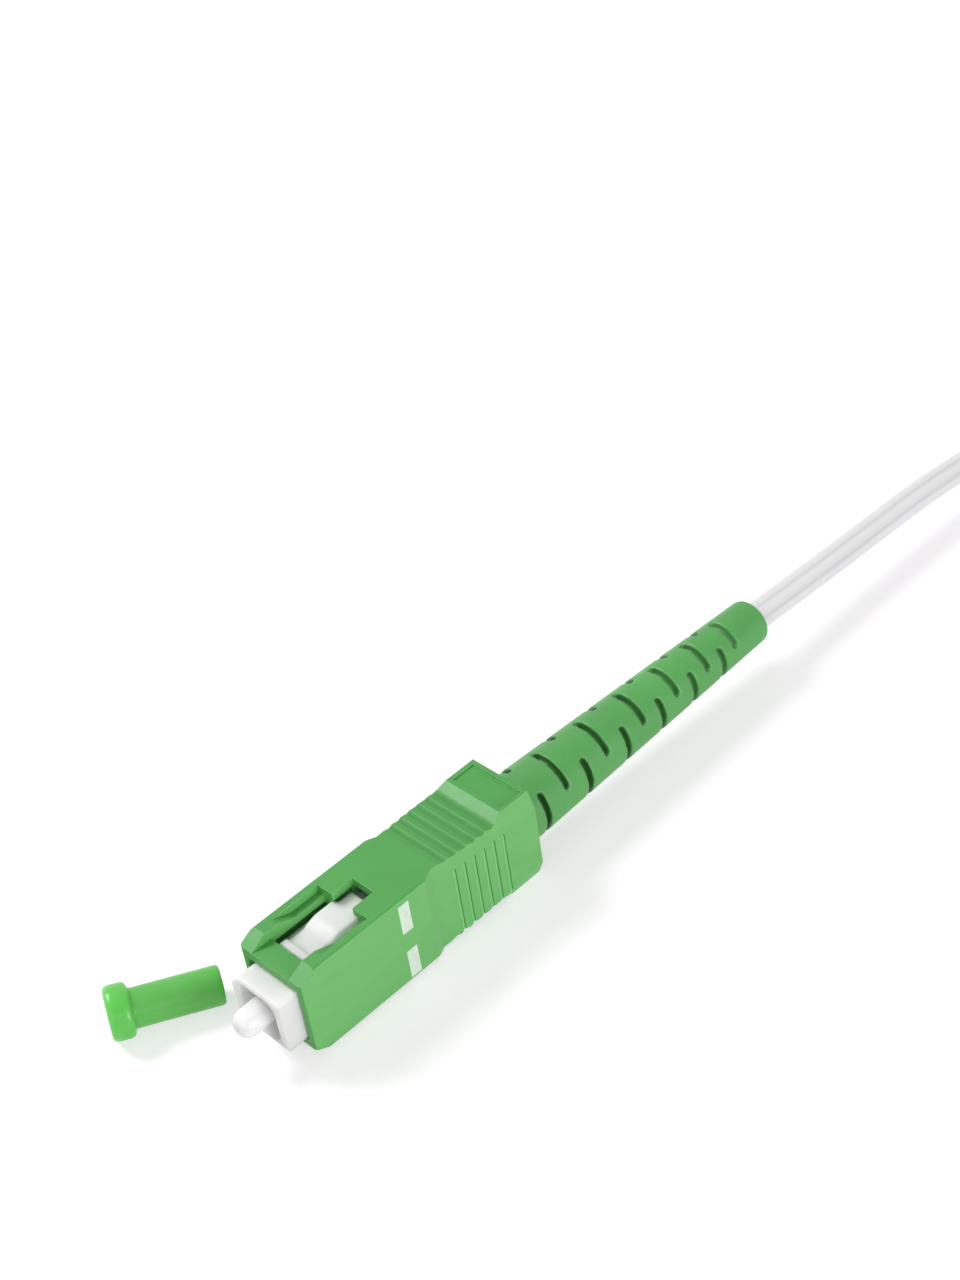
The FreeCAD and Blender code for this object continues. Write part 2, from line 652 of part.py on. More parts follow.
def hook_blocks(body, height):
    """Lip, neck and hook lug on both window sides."""
    base = height - 0.3
    blocks = [
        ("lip", S.lip_width, [(lip_front, base), (lip_front, height + S.lip_height),
                              (neck_front, height + S.lip_height), (neck_front, base)]),
        ("neck", S.neck_width, [(lip_front + 0.3, base), (lip_front + 0.3, height + S.neck_height),
                                (neck_end + 0.3, height + S.neck_height), (neck_end + 0.3, base)]),
        ("lug", S.lug_width, [(neck_end, base), (neck_end, height + S.neck_height),
                              (neck_end + S.lug_ramp, height + S.lug_height),
                              (lug_end, height + S.lug_height), (lug_end, base)]),
        ("lug_tail", S.notch_width - 2 * S.slide_gap,
         [(lug_end - 0.3, base), (lug_end - 0.3, height + S.lug_height),
          (lug_end + S.lug_tail_length, height + S.lug_height),
          (lug_end + S.lug_tail_length, base)]),
    ]
    for name, width, points in blocks:
        sketch = new_sketch(body, "XZ_Plane", name + "_side")
        for side in (1, -1):
            add_polygon(sketch, [(x, side * z) for x, z in points])
        feature(body, "Pad", name + "_block", sketch, width, symmetric=True)


def frame_bores(body):
    socket = S.socket_width / 2
    sketch = new_sketch(body, "YZ_Plane", "socket_section")
    add_rectangle(sketch, -socket, socket, -socket, socket)
    feature(body, "Pocket", "socket_cut", sketch, S.socket_depth, backward=True)
    depth = S.socket_depth.value
    round_edges(body, "socket_corners", S.socket_corner,
                lambda a, b: near(min(a.x, b.x), 0) and near(max(a.x, b.x), depth)
                and near(abs(a.y), socket.value) and near(abs(a.z), socket.value))
    sketch = new_sketch(body, "YZ_Plane", "partition_section", S.socket_depth - 0.2)
    add_circle(sketch, 0, 0, S.partition_bore / 2)
    feature(body, "Pocket", "partition_cut", sketch, S.frame_length, backward=True)
    sketch = new_sketch(body, "YZ_Plane", "cavity_section", flange_front)
    add_circle(sketch, 0, 0, S.cavity_bore / 2)
    feature(body, "Pocket", "cavity_cut", sketch, S.frame_length, backward=True)
    sketch = new_sketch(body, "XZ_Plane", "barb_slot_side")
    back = S.frame_length - S.barb_slot_inset
    out = S.frame_height / 2 + 1
    add_rectangle(sketch, back - S.barb_slot_length, back, -out, out)
    feature(body, "Pocket", "barb_slots", sketch, S.barb_slot_width, symmetric=True)


# ---------------------------------------------------------------- ferrule group

def make_ferrule():
    tip = -S.ferrule_proud
    back = tip + S.ferrule_length
    bore = S.glass_diameter / 2 + S.glue_line
    funnel = S.buffer_diameter / 2 + S.fit_gap
    lead = S.ferrule_diameter * tangent(S.polish_angle) / 2
    dome = []
    for angle in (30, 60, 90):
        along = 1 - math.cos(math.radians(angle))
        outward = math.sin(math.radians(angle))
        dome.append((tip + along * S.ferrule_dome_length, S.ferrule_tip_diameter / 2
                     + outward * (S.ferrule_diameter - S.ferrule_tip_diameter) / 2))
    body = turned("ferrule", [
        (tip - lead, bore), (tip - lead, S.ferrule_tip_diameter / 2),
        (tip, S.ferrule_tip_diameter / 2), *dome,
        (S.socket_depth - S.fit_gap, S.ferrule_diameter / 2),
        (back - 0.2, S.ferrule_diameter / 2 - S.ferrule_seat_taper),
        (back, S.ferrule_diameter / 2 - 0.2),
        (back, funnel), (back - S.funnel_length / 2, funnel),
        (back - S.funnel_length, bore)])
    sketch = new_sketch(body, "XZ_Plane", "polish_side")
    reach = S.ferrule_diameter
    slope = reach * tangent(S.polish_angle)
    add_polygon(sketch, [(tip - 2 * reach, -reach), (tip - slope, -reach),
                         (tip + slope, reach), (tip - 2 * reach, reach)])
    feature(body, "Pocket", "polished_face", sketch, 2 * reach, symmetric=True)


def make_flange():
    seat = S.ferrule_diameter / 2 + S.glue_line
    ferrule_back = S.ferrule_length - S.ferrule_proud
    tube = S.tube_diameter / 2 + S.glue_line
    stem_end = flange_back + S.stem_length
    body = turned("ferrule_flange", [
        (flange_front, seat), (flange_front, S.flange_diameter / 2 - 0.3),
        (flange_front + 0.3, S.flange_diameter / 2), (flange_back, S.flange_diameter / 2),
        (flange_back, S.stem_diameter / 2), (stem_end, S.stem_diameter / 2),
        (stem_end, tube), (ferrule_back, tube), (ferrule_back, seat)])
    sketch = new_sketch(body, "YZ_Plane", "flange_slot_section", flange_front - 1)
    floor = S.flange_diameter / 2 - S.flange_slot_depth
    add_rectangle(sketch, floor, S.flange_diameter, -S.flange_slot_width / 2,
                  S.flange_slot_width / 2)
    slot = feature(body, "Pocket", "flange_slot", sketch, S.flange_length + 1, backward=True)
    pattern = body.newObject("PartDesign::PolarPattern", "flange_slots")
    pattern.Originals = [slot]
    pattern.Axis = (sketch, ["N_Axis"])
    pattern.Angle = 360.0
    pattern.Occurrences = 4
    body.Tip = pattern


def make_ferrule_parts():
    make_ferrule()
    make_flange()
    tube_front = S.ferrule_length - S.ferrule_proud + S.fit_gap
    tube_back = tube_front + S.tube_length
    turned("guide_tube", [(tube_front, S.tube_bore / 2), (tube_front, S.tube_diameter / 2),
                          (tube_back, S.tube_diameter / 2), (tube_back, S.tube_bore / 2)])
    glass = S.glass_diameter / 2
    strip = S.ferrule_length - S.ferrule_proud - S.funnel_length / 2
    end = strip + S.buffer_length
    turned("buffered_fibre", [(-S.ferrule_proud, 0), (-S.ferrule_proud, glass), (strip, glass),
                              (strip, S.buffer_diameter / 2), (end, S.buffer_diameter / 2),
                              (end, 0)])


def make_spring():
    """A helix of short straight facets, lofted through turned sections of the wire."""
    wire = S.spring_wire.value / 2
    middle = S.spring_diameter.value / 2
    start = flange_back.value + wire
    run = S.spring_length.value - 2 * wire
    steps = int(S.spring_turns.value * 16)
    sections = []
    for i in range(steps + 1):
        share = i / steps
        around = 2 * math.pi * share * S.spring_turns.value
        outward = Vector(0, math.sin(around), math.cos(around))
        centre = Vector(start + share * run, 0, 0) + outward * middle
        corners = []
        for k in range(7):
            angle = math.pi * k / 3
            corners.append(centre + Vector(wire * math.cos(angle), 0, 0)
                           + outward * (wire * math.sin(angle)))
        sections.append(Part.makePolygon(corners))
    spring = doc.addObject("Part::Feature", "ferrule_spring_coil")
    spring.Label = "ferrule_spring"
    spring.Shape = Part.makeLoft(sections, True, True)
    spring.Placement = Placement()
    nodes.append(spring)


# ---------------------------------------------------------------- stop ring and crimp

def make_stop_ring():
    bore = S.stop_bore / 2
    nose = S.cavity_bore / 2 - S.fit_gap
    collar = S.collar_diameter / 2
    stem = S.crimp_stem_diameter / 2
    points = [(stop_front, bore), (stop_front, nose - 0.2), (stop_front + 0.2, nose),
              (S.frame_length, nose), (S.frame_length, collar), (collar_back, collar),
              (collar_back, S.stop_body_diameter / 2), (crimp_start, S.stop_body_diameter / 2),
              (crimp_start, stem)]
    rings = 2
    pitch = S.crimp_stem_length / (rings + 1)
    for i in range(rings):
        x = crimp_start + (i + 0.75) * pitch
        points += [(x, stem), (x + 0.25 * pitch, stem - S.crimp_groove),
                   (x + 0.5 * pitch, stem)]
    points += [(crimp_stem_end, stem), (crimp_stem_end, bore)]
    body = turned("stop_ring", points)
    slot_back = S.frame_length - S.barb_slot_inset
    front = slot_back - S.barb_slot_length + 2 * S.fit_gap
    back = slot_back - S.fit_gap
    sketch = new_sketch(body, "XZ_Plane", "barb_side")
    for side in (1, -1):
        add_polygon(sketch, [(front, side * (nose - 0.3)), (front, side * nose),
                             (back - 0.3, side * (nose + S.barb_height)),
                             (back, side * (nose + S.barb_height)), (back, side * (nose - 0.3))])
    feature(body, "Pad", "barbs", sketch, S.barb_slot_width - 4 * S.fit_gap, symmetric=True)


def make_crimp():
    stem = S.crimp_stem_diameter / 2 + S.glue_line
    yarn = stem + S.yarn_thickness
    front = crimp_start + 2 * S.fit_gap
    throat = S.jacket_bore / 2 + S.glue_line
    turned("aramid_yarn", [
        (front, stem), (front, yarn), (crimp_stem_end + 0.1, yarn),
        (jacket_start, throat + 3 * S.yarn_thickness), (jacket_start, throat),
        (jacket_start - S.yarn_thickness, throat), (crimp_stem_end + S.fit_gap, stem)])
    inner = yarn + S.glue_line
    neck = S.cable_diameter / 2 + S.glue_line
    slope_end = jacket_start + S.crimp_neck_slope
    end = slope_end + S.crimp_neck_length
    turned("crimp_ring", [
        (crimp_start, inner), (crimp_start, inner + S.crimp_wall),
        (jacket_start, inner + S.crimp_wall), (slope_end, neck + S.crimp_wall),
        (end, neck + S.crimp_wall), (end, neck), (slope_end, neck), (jacket_start, inner)])


# ---------------------------------------------------------------- boot and cable

def boot_radius(x):
    share = (x - boot_shoulder) / S.boot_length
    return S.boot_diameter / 2 - share * (S.boot_diameter - S.boot_end_diameter) / 2


def slot_profile(row):
    """One slot in section: straight front wall, rear wall that leans back more on later rows."""
    x = boot_shoulder + S.slot_lead + row * S.slot_pitch \
        - (row * (row - 1) / 2) * S.slot_pitch_loss
    floor = boot_radius(x) - S.slot_depth + row * S.slot_depth_loss
    front = x - S.slot_width / 2
    back = x + S.slot_width / 2
    skin = back + 1.2 * row * S.slot_widening
    top = S.boot_diameter / 2 + 0.5
    return [(front, floor), (front, top), (skin, top), (back, floor)]


def make_boot():
    sleeve_bore = S.crimp_stem_diameter / 2 + S.yarn_thickness + 2 * S.glue_line \
        + S.crimp_wall + S.fit_gap
    body_bore = S.stop_body_diameter / 2 + S.fit_gap
    neck_bore = S.cable_diameter / 2 + S.glue_line + S.crimp_wall + S.fit_gap
    cable_bore = S.cable_diameter / 2 + S.boot_bore_gap
    ring_end = jacket_start + S.crimp_neck_slope + S.crimp_neck_length + S.jacket_gap
    body = turned("boot", [
        (collar_back, body_bore), (collar_back, S.boot_sleeve_diameter / 2),
        (boot_shoulder, S.boot_sleeve_diameter / 2), (boot_shoulder, S.boot_diameter / 2),
        *round_corner(boot_end, S.boot_end_diameter / 2, S.boot_end_round, 1),
        (boot_end, cable_bore),
        (ring_end + 0.4, cable_bore), (ring_end, neck_bore),
        (jacket_start + S.crimp_neck_slope + S.fit_gap, neck_bore),
        (jacket_start + S.fit_gap, sleeve_bore), (crimp_start + S.fit_gap, sleeve_bore),
        (crimp_start + S.fit_gap, body_bore)])
    for name, first, angle, heading in (
            ("wide", 0, S.wide_slot_angle, S.wide_slot_heading),
            ("short", 1, S.short_slot_angle, S.short_slot_heading)):
        sketch = new_sketch(body, "XZ_Plane", name + "_slots", turn=heading)
        for row in range(first, int(S.slot_rows.value), 2):
            add_polygon(sketch, slot_profile(row))
        cut = revolve(body, "Groove", name + "_slots_cut", sketch, angle)
        opposite_pair(body, name + "_slots_pair", cut, sketch)


def make_cable_end():
    radius = S.cable_diameter / 2
    bore = S.jacket_bore / 2
    floor = jacket_start + S.jacket_bore_depth
    turned("cable_end", [(jacket_start, bore), (jacket_start, radius), (boot_end, radius),
                         (boot_end, 0), (floor, 0), (floor, bore)])


def rounded_path(points):
    """Straight runs joined by tangent arcs, each as large as its two runs allow."""
    points = [Vector(*p) for p in points]
    edges = []
    radii = []
    start = points[0]
    for before, corner, after in zip(points, points[1:], points[2:]):
        to_before = (before - corner).normalize()
        to_after = (after - corner).normalize()
        turn = math.pi - to_before.getAngle(to_after)
        reach = 0.45 * min(corner.distanceToPoint(before), corner.distanceToPoint(after))
        radius = reach / math.tan(turn / 2)
        enter = corner + to_before * reach
        leave = corner + to_after * reach
        inward = (to_before + to_after).normalize()
        middle = corner + inward * (radius / math.cos(turn / 2) - radius)
        edges.append(Part.LineSegment(start, enter).toShape())
        edges.append(Part.Arc(enter, middle, leave).toShape())
        radii.append(radius)
        start = leave
    edges.append(Part.LineSegment(start, points[-1]).toShape())
    return Part.Wire(edges), radii


def make_cable_lead():
    points = [(boot_end.value, 0.0, 0.0)] + LEAD_POINTS[1:]
    path, radii = rounded_path(points)
    radius = S.cable_diameter.value / 2
    start = Vector(*points[0])
    section = Part.Wire(Part.makeCircle(radius, start, Vector(1, 0, 0)))
    tube = path.makePipeShell([section], True, True)
    expected = math.pi * radius ** 2 * path.Length
    print("cable_lead radii:", ", ".join("%.1f" % r for r in radii))
    print("cable_lead volume %.2f, section x length %.2f" % (tube.Volume, expected))
    lead = doc.addObject("Part::Feature", "cable_lead_shape")
    lead.Label = "cable_lead"
    lead.Shape = tube
    lead.Placement = Placement()
    nodes.append(lead)


def place(body, position, rotation):
    body.Placement = Placement(position, rotation)


def make_hank():
    """The folded rest of the lead as one closed loop, and the band that holds it."""
    half = S.hank_columns * S.cable_diameter / 2
    inner = S.hank_fold / 2 - half
    outer = S.hank_fold / 2 + half
    bottom = floor_height + S.tie_thickness
    height = S.hank_layers * S.cable_diameter
    centre = Vector(HANK_CENTRE[0], HANK_CENTRE[1], 0)
    body = new_body("cable_coil")
    sketch = new_sketch(body, "XY_Plane", "hank_outline", bottom)
    add_oval(sketch, S.hank_run / 2, outer)
    add_oval(sketch, S.hank_run / 2, inner)
    feature(body, "Pad", "hank_loop", sketch, height)
    place(body, centre, Rotation())
    gap = S.tie_gap
    wall = S.tie_thickness
    body = new_body("coil_tie")
    sketch = new_sketch(body, "YZ_Plane", "tie_section")
    add_rectangle(sketch, inner - gap - wall, outer + gap + wall, bottom - wall,
                  bottom + height + gap + wall)
    add_rectangle(sketch, inner - gap, outer + gap, bottom, bottom + height + gap)
    feature(body, "Pad", "tie_band", sketch, S.tie_width, symmetric=True)
    sketch = new_sketch(body, "YZ_Plane", "tie_head_section")
    middle = bottom + height / 2
    add_rectangle(sketch, inner - gap - wall - S.tie_head, inner - gap - wall / 2,
                  middle - S.tie_head, middle + S.tie_head)
    feature(body, "Pad", "tie_head_block", sketch, S.tie_width + S.tie_head, symmetric=True)
    place(body, centre, Rotation())


# ---------------------------------------------------------------- dust cap

def make_dust_cap():
    rim = S.cap_flange_diameter / 2
    tube = S.cap_diameter / 2
    bore = S.ferrule_diameter / 2 + S.cap_bore_gap
    body = turned("dust_cap", [
        (S.cap_dish_depth, 0), (S.cap_dish_depth, rim - 1.6 * S.cap_dish_lip),
        (0, rim - S.cap_dish_lip), *reversed(round_corner(0, rim, S.cap_flange_round, -1)),
        *round_corner(S.cap_flange_length, rim, S.cap_flange_round, 1),
        (S.cap_flange_length, tube), *round_corner(S.cap_length, tube, S.cap_end_round, 1),
        (S.cap_length, bore),
        (S.cap_length - S.cap_bore_depth, bore), (S.cap_length - S.cap_bore_depth, 0)])
    end_x = S.cap_length.value
    # It lies on its rim and on its open end, so its axis dips towards the open end.
    dip = math.degrees(math.asin((rim.value - tube.value)
                                 / (end_x - S.cap_flange_length.value / 2)))
    heading = Rotation(Vector(0, 0, 1), S.cap_heading.value + 180)
    turn = heading * Rotation(Vector(0, 1, 0), dip)
    doc.recompute()
    lying = body.Shape.copy()
    lying.Placement = Placement(Vector(), turn)
    box = lying.optimalBoundingBox(False)
    middle = turn.multVec(Vector(end_x / 2, 0, 0))
    place(body, Vector(S.cap_centre_x.value - middle.x, S.cap_centre_y.value - middle.y,
                       floor_height.value - box.ZMin), turn)


# ---------------------------------------------------------------- checks and files

def check_document():
    for item in doc.Objects:
        if "Invalid" in item.State or "Error" in item.State:
            raise ValueError("%s failed: %s" % (item.Name, item.State))
        if item.TypeId in ("PartDesign::Pocket", "PartDesign::Groove"):
            if item.Shape.Volume > item.BaseFeature.Shape.Volume - 1e-6:
                raise ValueError(item.Name + " cuts nothing")
    for node in nodes:
        shape = node.Shape
        if shape.isNull() or not shape.isValid() or len(shape.Solids) != 1:
            raise ValueError("%s isn't one valid solid" % node.Label)


def write_parts():
    os.makedirs("parts", exist_ok=True)
    for node in nodes:
        node.Shape.exportStep("parts/%s.step" % node.Label)
        box = node.Shape.BoundBox
        print("%-16s %9.2f mm3  x %7.2f %7.2f  y %7.2f %7.2f  z %6.2f %6.2f" % (
            node.Label, node.Shape.Volume, box.XMin, box.XMax, box.YMin, box.YMax,
            box.ZMin, box.ZMax))


make_grip()
make_plug_frame()
make_ferrule_parts()
make_spring()
make_stop_ring()
make_crimp()
make_boot()
make_cable_end()
make_cable_lead()
make_hank()
make_dust_cap()
doc.recompute()
check_document()
write_parts()
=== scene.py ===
import math

import bpy
from mathutils import Matrix, Vector


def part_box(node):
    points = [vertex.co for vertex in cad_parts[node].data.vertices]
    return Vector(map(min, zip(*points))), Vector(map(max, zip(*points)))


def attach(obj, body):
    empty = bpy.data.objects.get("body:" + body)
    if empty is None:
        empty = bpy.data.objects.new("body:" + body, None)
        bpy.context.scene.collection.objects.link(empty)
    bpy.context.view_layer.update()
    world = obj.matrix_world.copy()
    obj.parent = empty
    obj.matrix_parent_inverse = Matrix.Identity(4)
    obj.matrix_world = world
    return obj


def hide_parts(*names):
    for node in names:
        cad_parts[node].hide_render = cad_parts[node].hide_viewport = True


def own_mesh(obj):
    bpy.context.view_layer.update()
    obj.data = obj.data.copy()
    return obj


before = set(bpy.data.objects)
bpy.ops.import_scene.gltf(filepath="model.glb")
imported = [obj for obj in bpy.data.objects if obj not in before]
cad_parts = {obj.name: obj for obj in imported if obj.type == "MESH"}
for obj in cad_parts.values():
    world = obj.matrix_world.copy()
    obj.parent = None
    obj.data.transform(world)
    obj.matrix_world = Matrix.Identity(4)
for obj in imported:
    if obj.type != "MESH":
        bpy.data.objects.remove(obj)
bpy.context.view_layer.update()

MM = 0.001
FLOOR_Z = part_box("grip_housing")[0][2]    # the plug lies on one window face of its grip


# ---------------------------------------------------------------- camera

CAMERA_PLACE = (-58.79, -105.86, 129.12)  # in mm
CAMERA_RIGHT = (0.69918, -0.70418, -0.12359)
CAMERA_UP = (0.51461, 0.37569, 0.77074)
CAMERA_FOCAL = 2200                       # in the photograph's pixels
PHOTO_HEIGHT = 1280                       # in pixels, its long side
CAMERA_CLIP = 0.005                       # in metres


def add_camera():
    """The photographer's place, close above and beside the nose."""
    data = bpy.data.cameras.new("photo_camera")
    camera = bpy.data.objects.new("photo_camera", data)
    bpy.context.collection.objects.link(camera)
    right = Vector(CAMERA_RIGHT)
    up = Vector(CAMERA_UP)
    axes = Matrix((right, up, right.cross(up))).transposed()
    place = Vector(CAMERA_PLACE) * MM
    camera.matrix_world = Matrix.Translation(place) @ axes.to_4x4()
    data.lens = data.sensor_width * CAMERA_FOCAL / PHOTO_HEIGHT
    data.clip_start = CAMERA_CLIP
    bpy.context.scene.camera = camera


# ---------------------------------------------------------------- the lead

STRAND = 2.8                              # the cable's diameter, in mm like all that follows
# The route in part.py, with one point added after the boot and the next two moved.
LEAD = [(61.0, 0.0, 0.0), (70.0, 0.0, -0.55), (95.0, -0.15, -1.05), (113.0, -4.3, -2.7),
        (131.0, -5.2, -2.86)]
HANK_CENTRE = (140.0, 6.0)
HANK_RUN = 27.5                           # its straight runs
HANK_FOLDS = 15                           # half turns, the first at the far end
FOLD_STEPS = 6                            # steps between the points of a fold
FOLD_RADIUS = {"outer": 11.2, "inner": 8.4}
FOLD_PATTERN = [                          # column of each fold, and the layers it climbs
    ("outer", 0), ("inner", 0), ("inner", 1), ("inner", 0), ("outer", 0), ("outer", 1)]
CORD_STEPS = 8                            # resolution along the strand and around it


def hank_points():
    """7.5 turns over two columns and five layers; the strand climbs a layer on every third fold."""
    points = []
    layer = 0
    height = LEAD[-1][2]
    # The spline passes its points at (before + 6 x point + after) / 8, so they stand further out.
    spread = 8 / (6 + 2 * math.cos(math.pi / FOLD_STEPS))
    for fold in range(HANK_FOLDS):
        column, rise = FOLD_PATTERN[fold % len(FOLD_PATTERN)]
        side = 1 if fold % 2 == 0 else -1
        radius = FOLD_RADIUS[column]
        if fold == HANK_FOLDS - 1:        # the last fold stays level
            rise = 0
        for step in range(FOLD_STEPS + 1):
            angle = math.pi * (step / FOLD_STEPS - side / 2)
            reach = HANK_RUN / 2 + radius * spread * abs(math.cos(angle))
            points.append((HANK_CENTRE[0] + side * reach,
                           HANK_CENTRE[1] + radius * math.sin(angle),
                           height + STRAND * (layer + rise * step / FOLD_STEPS)))
        layer += rise
    return points


def add_lead():
    """The lead and its hank, as one strand."""
    curve = bpy.data.curves.new("fibre_lead", "CURVE")
    curve.dimensions = "3D"
    route = LEAD + hank_points()
    spline = curve.splines.new("NURBS")
    spline.points.add(len(route) - 1)
    for point, place in zip(spline.points, route):
        point.co = [c * MM for c in place] + [1.0]
        point.radius = STRAND / 2 * MM    # a curve's box grows by its points' radius
    spline.order_u = 3
    spline.use_endpoint_u = True
    spline.resolution_u = CORD_STEPS
    curve.bevel_depth = 1.0
    curve.bevel_resolution = CORD_STEPS
    curve.use_fill_caps = True
    lead = bpy.data.objects.new("fibre_lead", curve)
    bpy.context.collection.objects.link(lead)
    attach(lead, "plug")
    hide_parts("cable_lead", "cable_coil")
    return lead


# ---------------------------------------------------------------- material nodes

BEVEL_SAMPLES = 6
CREASE_SHADE_SAMPLES = 8
CREASE_SHADE_RANGE = (0.35, 0.85)               # openness that counts as all shut, and as all open, for the painted shade in slots and creases
MASK_SOFT = 0.00002                       # half the width of a mask's soft edge, in metres


class Shader:
    """A node material built up from small helpers; coordinates are the piece's own, in metres."""

    def __init__(self, name):
        self.material = bpy.data.materials.new(name)
        self.material.use_nodes = True
        self.tree = self.material.node_tree
        self.tree.nodes.clear()
        self.surface = self.node("BsdfPrincipled")
        self.link(self.surface, 0, self.node("OutputMaterial"), "Surface")
        self.place = self.node("TexCoord")

    def node(self, kind, **settings):
        made = self.tree.nodes.new("ShaderNode" + kind)
        for key, value in settings.items():
            setattr(made, key, value)
        return made

    def link(self, source, output, target, socket):
        self.tree.links.new(source.outputs[output], target.inputs[socket])

    def split(self, output):
        """X, Y and Z of the piece's own "Object" place or "Normal"."""
        made = self.node("SeparateXYZ")
        self.link(self.place, output, made, 0)
        return made

    def noise(self, scale, detail=3.0, rough=0.5, stretch=(1.0, 1.0, 1.0)):
        mapping = self.node("Mapping")
        mapping.inputs["Scale"].default_value = stretch
        self.link(self.place, "Object", mapping, "Vector")
        made = self.node("TexNoise")
        made.inputs["Scale"].default_value = scale
        made.inputs["Detail"].default_value = detail
        made.inputs["Roughness"].default_value = rough
        self.link(mapping, 0, made, "Vector")
        return made

    def ramp(self, source, stops, output=0):
        """Maps a value to colours; stops are (position, colour)."""
        made = self.node("ValToRGB")
        ramp = made.color_ramp
        while len(ramp.elements) < len(stops):
            ramp.elements.new(0.5)
        for element, (position, colour) in zip(ramp.elements, stops):
            element.position = position
            element.color = tuple(colour) + (1.0,)
        self.link(source, output, made, "Fac")
        return made

    def span(self, source, low, high, output=0):
        """A value from 0..1 stretched to low..high."""
        made = self.node("MapRange")
        made.inputs["To Min"].default_value = low
        made.inputs["To Max"].default_value = high
        self.link(source, output, made, "Value")
        return made

    def mix(self, factor, a, b):
        """Colour a where factor is 0, b where it is 1; each a colour or a node."""
        made = self.node("Mix", data_type="RGBA")
        if isinstance(factor, float):
            made.inputs[0].default_value = factor
        else:
            self.link(factor, 0, made, 0)
        for source, socket in ((a, 6), (b, 7)):
            if isinstance(source, tuple):
                made.inputs[socket].default_value = source + (1.0,)
            else:
                self.link(source, 2 if source.bl_idname == "ShaderNodeMix" else 0, made, socket)
        return made

    def math(self, operation, *sources):
        made = self.node("Math", operation=operation)
        for i, source in enumerate(sources):
            if isinstance(source, (int, float)):
                made.inputs[i].default_value = source
            elif isinstance(source, tuple):
                self.link(source[0], source[1], made, i)
            else:
                self.link(source, 0, made, i)
        return made

    def bump(self, sources, rounding=0.0):
        """Stacks (height node, distance in metres, strength) on the normal, edges rounded first."""
        last = None
        if rounding:
            last = self.node("Bevel", samples=BEVEL_SAMPLES)
            last.inputs["Radius"].default_value = rounding
        for height, distance, strength in sources:
            made = self.node("Bump")
            made.inputs["Distance"].default_value = distance
            made.inputs["Strength"].default_value = strength
            self.link(height, 0, made, "Height")
            if last:
                self.link(last, 0, made, "Normal")
            last = made
        self.link(last, 0, self.surface, "Normal")
        self.last_bump = last

    def edges(self, radius, strength):
        """1 near the piece's edges, where the rounded normal leaves the true one."""
        rounded = self.node("Bevel", samples=BEVEL_SAMPLES)
        rounded.inputs["Radius"].default_value = radius
        true = self.node("NewGeometry")
        dot = self.node("VectorMath", operation="DOT_PRODUCT")
        self.link(rounded, 0, dot, 0)
        self.link(true, "True Normal", dot, 1)
        away = self.math("SUBTRACT", 1.0, (dot, "Value"))
        scaled = self.math("MULTIPLY", away, strength)
        scaled.use_clamp = True
        return scaled

    def depth(self, colour, distance, darkest):
        """Painted shade: the colour, darkened down to a share of itself in slots and creases where
        ambient occlusion finds them shut in.
        """
        hollow = self.node("AmbientOcclusion", samples=CREASE_SHADE_SAMPLES)
        hollow.inputs["Distance"].default_value = distance
        share = self.node("MapRange")
        shut, clear = CREASE_SHADE_RANGE
        for name, value in (("From Min", shut), ("From Max", clear), ("To Min", darkest)):
            share.inputs[name].default_value = value
        self.link(hollow, "AO", share, "Value")
        away = self.math("SUBTRACT", 1.0, share)
        return self.mix(away, colour, (0.0, 0.0, 0.0))

    def set(self, **values):
        for name, value in values.items():
            self.surface.inputs[name.replace("_", " ")].default_value = value


def linear(r, g, b):
    """An sRGB colour given as 0..255, in scene-linear values."""
    return tuple((c / 255 / 12.92) if c <= 10 else ((c / 255 + 0.055) / 1.055) ** 2.4
                 for c in (r, g, b))


def shade(colour, factor):
    return tuple(c * factor for c in colour)


def inside(shader, axis, low, high):
    """1 where the piece's own coordinate on an axis lies between low and high, in metres."""
    parts = shader.split("Object")
    middle, half = (low + high) / 2, (high - low) / 2
    away = shader.math("ABSOLUTE", shader.math("SUBTRACT", (parts, axis), middle), 0.0)
    edge = shader.node("MapRange")
    edge.inputs["From Min"].default_value = half + MASK_SOFT
    edge.inputs["From Max"].default_value = half - MASK_SOFT
    shader.link(away, 0, edge, "Value")
    return edge


# Noise scale, detail and roughness of what all moulded pieces share.
CLOUDS = (180, 4.0, 0.55)
GRAIN = (5200, 2.0, 0.5)
GLOSS = (900, 3.0, 0.6)


def moulded(name, colour, roughness, mottle=0.06, grain=0.35, rounding=0.00008, **values):
    """Moulded plastic: faint cloudiness, a fine eroded grain and slightly uneven gloss."""
    shader = Shader(name)
    clouds = shader.noise(*CLOUDS)
    fine = shader.noise(*GRAIN)
    tint = shader.ramp(clouds, [(0.3, shade(colour, 1 - mottle)), (0.7, shade(colour, 1 + mottle))])
    shader.link(tint, 0, shader.surface, "Base Color")
    shader.gloss = shader.span(shader.noise(*GLOSS), roughness - 0.05, roughness + 0.07)
    shader.link(shader.gloss, 0, shader.surface, "Roughness")
    shader.bump([(clouds, 0.00003, 0.25), (fine, 0.000004, grain)], rounding)
    shader.set(**values)
    return shader, tint


# ---------------------------------------------------------------- the object's materials

GREEN = linear(73, 157, 71)
# A paler green for the painted sheen on the side walls, a lighter green for painted highlights on
# edges and crests, and a bright green for painted light down in the side grooves.
WALL_SHEEN_GREEN = linear(108, 186, 102)
HIGHLIGHT_GREEN = linear(150, 205, 146)
GROOVE_LIGHT_GREEN = linear(130, 222, 128)
CAP_GREEN = linear(98, 196, 82)
BOOT_GREEN = linear(85, 163, 83)
WHITE = linear(238, 238, 237)
GREEN_SCATTER = (0.5, 1.0, 0.5)
WHITE_SCATTER = (1.0, 1.0, 1.0)

